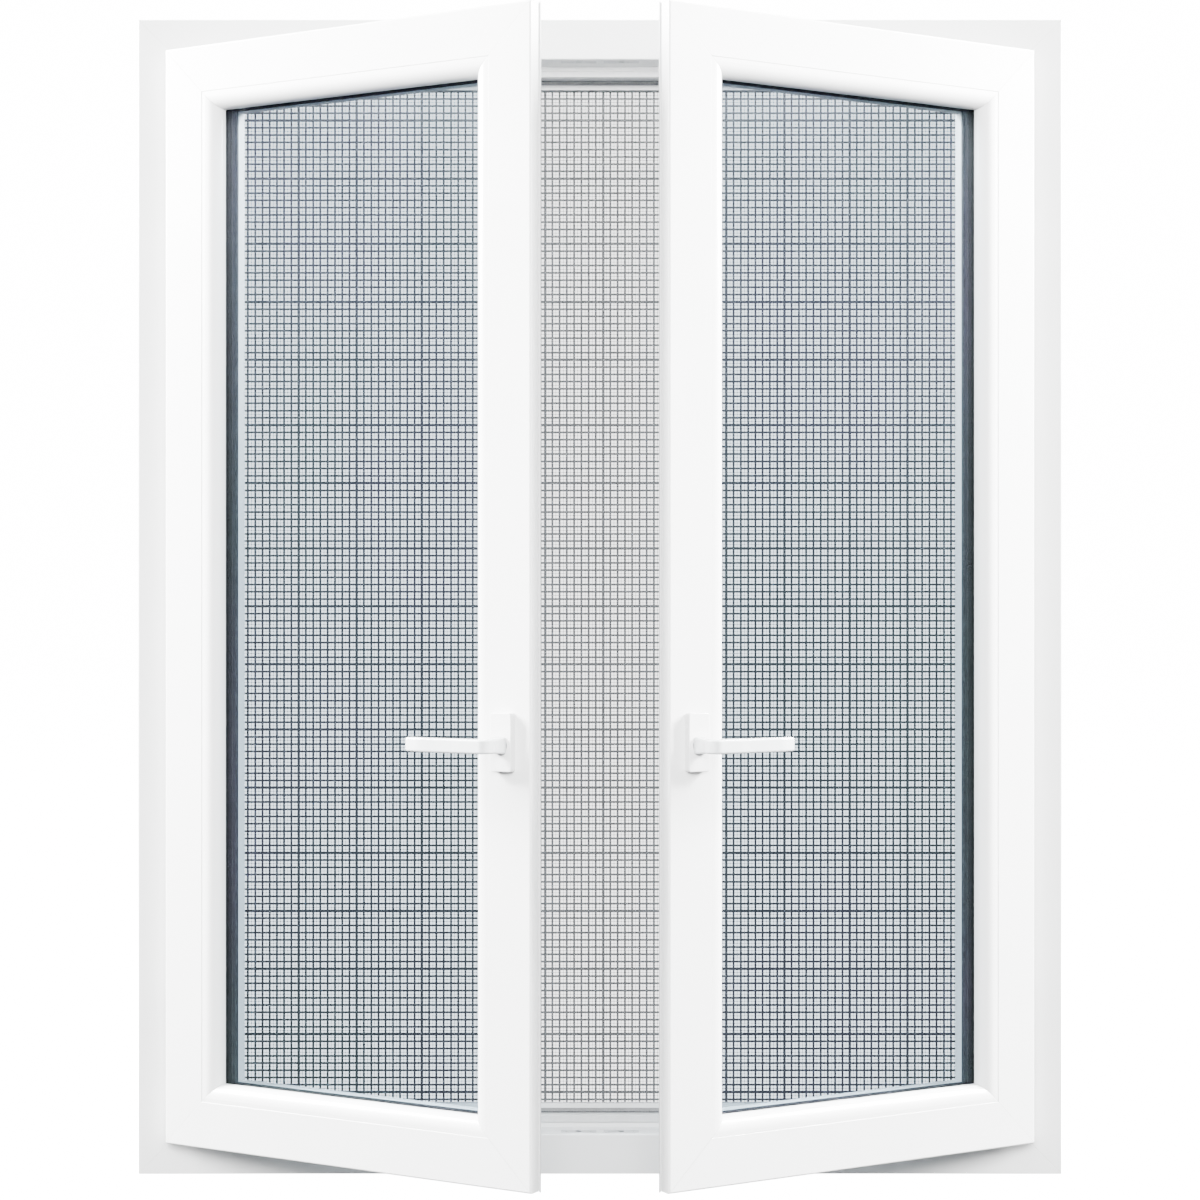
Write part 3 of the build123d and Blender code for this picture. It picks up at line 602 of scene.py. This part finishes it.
def netTree():
    labels = {
        "First": "int", "Count": "int", "First Crossing": "int", "Crossings": "int", "Pitch": "float",
        "Width": "float", "Thickness": "float", "Lift": "float", "Fine": "float", "Heavy Width": "float",
        "Heavy Step": "float", "Wander": "float", "Seed": "int", "Turn": "vector", "Place": "vector",
        "Material": "material",
    }
    recipe = GeometryRecipe("wovenWires", labels)
    pitch, crossings = recipe.given("Pitch"), recipe.given("Crossings")
    length = pitch * (crossings - 1)
    middle = pitch * recipe.given("First Crossing") + length * 0.5

    def row(shift, count, extra):
        start = recipe.join(pitch * (recipe.given("First") + shift), 0.0, 0.0)
        inputs = {"Count": count, "Start Location": start, "Offset": recipe.join(pitch, 0.0, 0.0)}
        points = recipe.add("GeometryNodeMeshLine", {"mode": "OFFSET"}, inputs)
        limits = {2: -1.0, 3: 1.0, "Seed": recipe.given("Seed") + extra}
        drift = recipe.add("FunctionNodeRandomValue", {"data_type": "FLOAT"}, limits, 1)
        offset = recipe.join(drift * recipe.given("Wander"), 0.0, 0.0)
        return recipe.add("GeometryNodeSetPosition", None, {"Geometry": points, "Offset": offset})

    number = recipe.given("First") + recipe.add("GeometryNodeInputIndex")
    step = recipe.given("Heavy Step")
    nearest = step * recipe.maths("ROUND", number / step)
    heavy = recipe.maths("LESS_THAN", abs(number - nearest), 0.5)
    size = recipe.join(recipe.given("Width"), recipe.given("Thickness"), length)
    wire = recipe.box(size, (2, 2, crossings))
    wire = recipe.moved(wire, recipe.join(0.0, 0.0, middle))
    swell = recipe.join(1 + heavy * (recipe.given("Heavy Width") - 1), 1.0, 1.0)
    wires = recipe.realized(recipe.scattered(row(0, recipe.given("Count"), 0), wire, Scale=swell))

    x, y, z = recipe.split(recipe.add("GeometryNodeInputPosition"))
    square = recipe.maths("ROUND", x / pitch) + recipe.maths("ROUND", z / pitch)
    over = 1 - 2 * recipe.maths("FLOORED_MODULO", square, 2.0)
    lifted = recipe.join(0.0, over * recipe.given("Lift"), 0.0)
    wires = recipe.add("GeometryNodeSetPosition", None, {"Geometry": wires, "Offset": lifted})

    thread = recipe.box(recipe.join(recipe.given("Fine"), recipe.given("Fine") * 0.6, length), (2, 2, 2))
    thread = recipe.moved(thread, recipe.join(0.0, 0.0, middle))
    threads = recipe.realized(recipe.scattered(row(0.5, recipe.given("Count") - 1, 7), thread))
    whole = recipe.moved(recipe.joined(wires, threads), recipe.given("Place"), recipe.given("Turn"))
    return recipe.finished(whole)


def makeNet():
    tree = netTree()
    firstUp, ups = net["uprights"]
    firstCross, crosses = net["crosswires"]
    common = {
        "Pitch": net["pitch"], "Width": net["width"], "Thickness": net["thickness"], "Fine": net["fine"],
        "Heavy Width": net["heavyWidth"], "Heavy Step": net["heavyStep"], "Wander": net["wander"],
        "Place": net["crossing"], "Material": shared["wire"],
    }
    uprights = {
        "First": firstUp, "Count": ups, "First Crossing": firstCross, "Crossings": crosses,
        "Lift": net["lift"], "Seed": 3, "Turn": (0.0, 0.0, 0.0),
    }
    # a quarter turn lays the same wires across, which runs their crossings the other way
    crosswires = {
        "First": firstCross, "Count": crosses, "First Crossing": 1 - firstUp - ups, "Crossings": ups,
        "Lift": -net["lift"], "Seed": 11, "Turn": (0.0, -math.pi / 2, 0.0),
    }
    for name, values in (("netUprights", uprights), ("netCrosswires", crosswires)):
        piece = grow(name, tree, {**common, **values})
        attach(piece, "frame")
        print(name, len(piece.data.polygons), "faces")


makeNet()


# Screws with a cross recess, in place of the plain ones

screwShape = {
    "sides": 20, "head": 0.46, "shank": 0.5, "raisedHead": 0.56, "raisedTop": 0.9,
    "slotLong": 1.15, "slotWide": 0.24, "slotDeep": 0.32,
}


def screwSeats(node):
    # each loose screw's broadest flat face is the top of its head
    mesh = nodes[node].data
    corners = np.array([tuple(round(c, 6) for c in v.co) for v in mesh.vertices])
    unique, index = np.unique(corners, axis=0, return_inverse=True)
    index = index.ravel()
    group = list(range(len(unique)))

    def root(i):
        while group[i] != i:
            group[i] = group[group[i]]
            i = group[i]
        return i

    faces = []
    for polygon in mesh.polygons:
        ids = [index[v] for v in polygon.vertices]
        for other in ids[1:]:
            group[root(other)] = root(ids[0])
        faces.append(ids)
    screws = {}
    for polygon, ids in zip(mesh.polygons, faces):
        screws.setdefault(root(ids[0]), []).append((polygon, ids))
    seats = []
    for members in screws.values():
        flats = {}
        for polygon, ids in members:
            level = round(polygon.normal.dot(polygon.center), 4)
            key = (*(round(c, 2) + 0.0 for c in polygon.normal), level)
            flats.setdefault(key, []).append((polygon, ids))
        areas = {key: sum(polygon.area for polygon, _ in flat) for key, flat in flats.items()}
        largest = max(areas, key=areas.get)
        top = flats[largest]
        normal = top[0][0].normal.copy()
        # a raised head has a broad ring under it, a sunk one only the screw's tip
        under = max(area for key, area in areas.items() if normal.dot(key[:3]) < -0.9)
        raised = float(under > areas[largest] / 2)
        rim = unique[sorted({i for _, ids in top for i in ids})]
        centre = (rim.min(0) + rim.max(0)) / 2
        allPoints = unique[sorted({i for _, ids in members for i in ids})]
        depth = ((centre - allPoints) @ np.array(normal)).max()
        seats.append((centre, normal, np.linalg.norm(rim - centre, axis=1).max(), depth, raised))
    return seats


def screwTree():
    recipe = GeometryRecipe("crossScrews", {
        "Sides": "int", "Head": "float", "Shank": "float", "Raised Head": "float", "Raised Top": "float",
        "Slot Long": "float", "Slot Wide": "float", "Slot Deep": "float", "Material": "material",
    })
    sides, head, thickness = recipe.given("Sides"), recipe.given("Head"), recipe.given("Shank")
    deep = recipe.given("Slot Deep") * 2
    slots = [
        recipe.box(recipe.join(recipe.given("Slot Long"), recipe.given("Slot Wide"), deep), (2, 2, 2)),
        recipe.box(recipe.join(recipe.given("Slot Wide"), recipe.given("Slot Long"), deep), (2, 2, 2)),
    ]

    def slottedHead(top, bottom, tall):
        inputs = {"Vertices": sides, "Radius Top": top, "Radius Bottom": bottom, "Depth": tall}
        cone = recipe.moved(recipe.add("GeometryNodeMeshCone", None, inputs), recipe.join(0.0, 0.0, 0 - tall))
        inputs = {"Mesh 1": cone, "Mesh 2": slots}
        return recipe.add("GeometryNodeMeshBoolean", {"operation": "DIFFERENCE", "solver": "EXACT"}, inputs)

    sunkHead = slottedHead(1.0, thickness, head)
    raisedHead = slottedHead(recipe.given("Raised Top"), 1.0, recipe.given("Raised Head"))
    length = recipe.add("GeometryNodeInputNamedAttribute", {"data_type": "FLOAT"}, {"Name": "length"})
    size = recipe.add("GeometryNodeInputNamedAttribute", {"data_type": "FLOAT"}, {"Name": "size"})
    raised = recipe.add("GeometryNodeInputNamedAttribute", {"data_type": "FLOAT"}, {"Name": "raised"})
    facing = recipe.add("GeometryNodeInputNamedAttribute", {"data_type": "FLOAT_VECTOR"}, {"Name": "facing"})
    turn = recipe.add("FunctionNodeAlignRotationToVector", {"axis": "Z"}, {"Vector": facing})
    shank = recipe.add("GeometryNodeMeshCylinder", None, {
        "Vertices": sides, "Radius": thickness, "Depth": 1.0,
    })
    shank = recipe.moved(shank, (0.0, 0.0, -0.5))
    points = recipe.given("Geometry")
    scale = recipe.join(size, size, size)
    flush = recipe.maths("LESS_THAN", raised, 0.5)
    sunk = recipe.scattered(points, sunkHead, Selection=flush, Rotation=turn, Scale=scale)
    proud = recipe.scattered(points, raisedHead, Selection=raised, Rotation=turn, Scale=scale)
    # the shank starts below the cross, so it doesn't fill it
    start = size * recipe.maths("MAXIMUM", head, recipe.given("Slot Deep")) * 0.95
    inward = recipe.add("ShaderNodeVectorMath", {"operation": "SCALE"}, {0: facing, "Scale": 0 - start})
    below = recipe.add("GeometryNodeSetPosition", None, {"Geometry": points, "Offset": inward})
    shanks = recipe.scattered(below, shank, Rotation=turn, Scale=recipe.join(size, size, length - start))
    parts = [recipe.realized(piece) for piece in (sunk, proud, shanks)]
    return recipe.finished(recipe.joined(*parts))


def addAttribute(mesh, name, kind, field, values):
    attribute = mesh.attributes.new(name, kind, "POINT")
    attribute.data.foreach_set(field, np.ravel(values).astype(np.float32))


def makeScrews():
    tree = screwTree()
    for body in ("frame", "left_sash", "right_sash"):
        node = body + "_screws"
        seats = screwSeats(node)
        host = bpy.data.meshes.new(node + "Seats")
        host.from_pydata([tuple(seat[0]) for seat in seats], [], [])
        addAttribute(host, "facing", "FLOAT_VECTOR", "vector", [tuple(seat[1]) for seat in seats])
        for place, name in ((2, "size"), (3, "length"), (4, "raised")):
            addAttribute(host, name, "FLOAT", "value", [seat[place] for seat in seats])
        values = {
            "Sides": screwShape["sides"], "Head": screwShape["head"], "Shank": screwShape["shank"],
            "Raised Head": screwShape["raisedHead"], "Raised Top": screwShape["raisedTop"],
            "Slot Long": screwShape["slotLong"], "Slot Wide": screwShape["slotWide"],
            "Slot Deep": screwShape["slotDeep"], "Material": shared["zincScrew"],
        }
        piece = grow(node.replace("_s", "S") + "Cross", tree, values, host)
        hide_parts(node)
        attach(piece, body)
        print(piece.name, len(seats), "screws", int(sum(seat[4] for seat in seats)), "with raised heads")


makeScrews()


# Studio

studio = {
    "open": 16.0,  # backdrop and floor seen directly
    "beyond": 4.0,  # the same seen through the glass or the net
    "skyTop": 1.2, "skyLow": 0.12,  # soft light from all round
    "skyEdge": (-0.35, 0.5),  # heights between which the sky goes from low to top
    "floorSize": 40.0, "floorShare": 0.95, "floorColour": (0.8, 0.8, 0.8),  # the paint adds the rest
}
lamps = {
    "front": {"place": (0, -4.4, 2.2), "aim": (0, 0, 0.9), "size": (3.2, 1.6), "power": 900},
    "left": {"place": (-2.6, 0.0, 2.3), "aim": (-0.2, -0.2, 0.95), "size": (1.1, 1.6), "power": 1650},
    "right": {"place": (2.6, 0.0, 2.3), "aim": (0.2, -0.2, 0.95), "size": (1.1, 1.6), "power": 1650},
    "back": {"place": (0, 3.6, 3.1), "aim": (0, 0, 0.8), "size": (3.0, 1.6), "power": 420},
}


def seenBackdrop(kit, light):
    # how bright the backdrop looks, straight on and once a ray has gone through the net or a pane
    through = kit.maths("GREATER_THAN", light.out("Transparent Depth"), 0.5)
    return kit.either(through, studio["open"], studio["beyond"]), through


def makeStudio():
    world = bpy.data.worlds.new("studio")
    scene.world = world
    world.use_nodes = True
    world.node_tree.nodes.clear()
    kit = NodeKit(world.node_tree)
    light = kit.add("ShaderNodeLightPath")
    strength = seenBackdrop(kit, light)[0]
    up = kit.split(kit.add("ShaderNodeTexCoord", output="Generated"))[2]
    ambient = kit.either(kit.smooth(up, *studio["skyEdge"]), studio["skyLow"], studio["skyTop"])
    shown = kit.add("ShaderNodeBackground", None, {"Color": (1, 1, 1, 1), "Strength": strength})
    glow = kit.add("ShaderNodeBackground", None, {"Color": (0.96, 0.98, 1, 1), "Strength": ambient})
    mixed = kit.add("ShaderNodeMixShader", None, {0: light.out("Is Camera Ray"), 1: glow, 2: shown})
    kit.add("ShaderNodeOutputWorld", None, {"Surface": mixed})

    half = studio["floorSize"] / 2
    mesh = bpy.data.meshes.new("floor")
    ring = ((-half, -half), (half, -half), (half, half), (-half, half))
    mesh.from_pydata([(x, y, -0.001) for x, y in ring], [], [(0, 1, 2, 3)])
    floor = bpy.data.objects.new("floor", mesh)
    scene.collection.objects.link(floor)
    floor.visible_diffuse = False
    floor.visible_glossy = False
    pale = bpy.data.materials.new("paleFloor")
    pale.use_nodes = True
    pale.node_tree.nodes.clear()
    kit = NodeKit(pale.node_tree)
    light = kit.add("ShaderNodeLightPath")
    strength, through = seenBackdrop(kit, light)
    share = kit.either(through, studio["floorShare"], 1.0)
    glowing = kit.add("ShaderNodeEmission", None, {"Color": (1, 1, 1, 1), "Strength": strength * share})
    paint = kit.add("ShaderNodeBsdfDiffuse", None, {"Color": solid(studio["floorColour"])})
    both = kit.add("ShaderNodeAddShader", None, {0: glowing, 1: paint})
    surface = kit.add("ShaderNodeMixShader", None, {0: through, 1: both, 2: glowing})
    kit.add("ShaderNodeOutputMaterial", None, {"Surface": surface})
    mesh.materials.append(pale)

    for name, lamp in lamps.items():
        data = bpy.data.lights.new(name + "Lamp", "AREA")
        data.shape = "RECTANGLE"
        data.size, data.size_y = lamp["size"]
        data.energy = lamp["power"]
        holder = bpy.data.objects.new(name + "Lamp", data)
        holder.location = lamp["place"]
        aim = Vector(lamp["aim"]) - Vector(lamp["place"])
        holder.rotation_euler = aim.to_track_quat("-Z", "Y").to_euler()
        holder.visible_camera = False
        holder.visible_glossy = name != "front"  # or shut sashes mirror it as a band across the panes
        scene.collection.objects.link(holder)


makeStudio()

view = {"place": (0, -3.328, 0.754), "lens": 75.9, "shiftY": -0.0053}
camera = bpy.data.objects.new("camera", bpy.data.cameras.new("camera"))
camera.location = view["place"]
camera.rotation_euler = (math.radians(90), 0, 0)
camera.data.lens = view["lens"]
camera.data.shift_y = view["shiftY"]
scene.collection.objects.link(camera)
scene.camera = camera
print("studio and camera set")
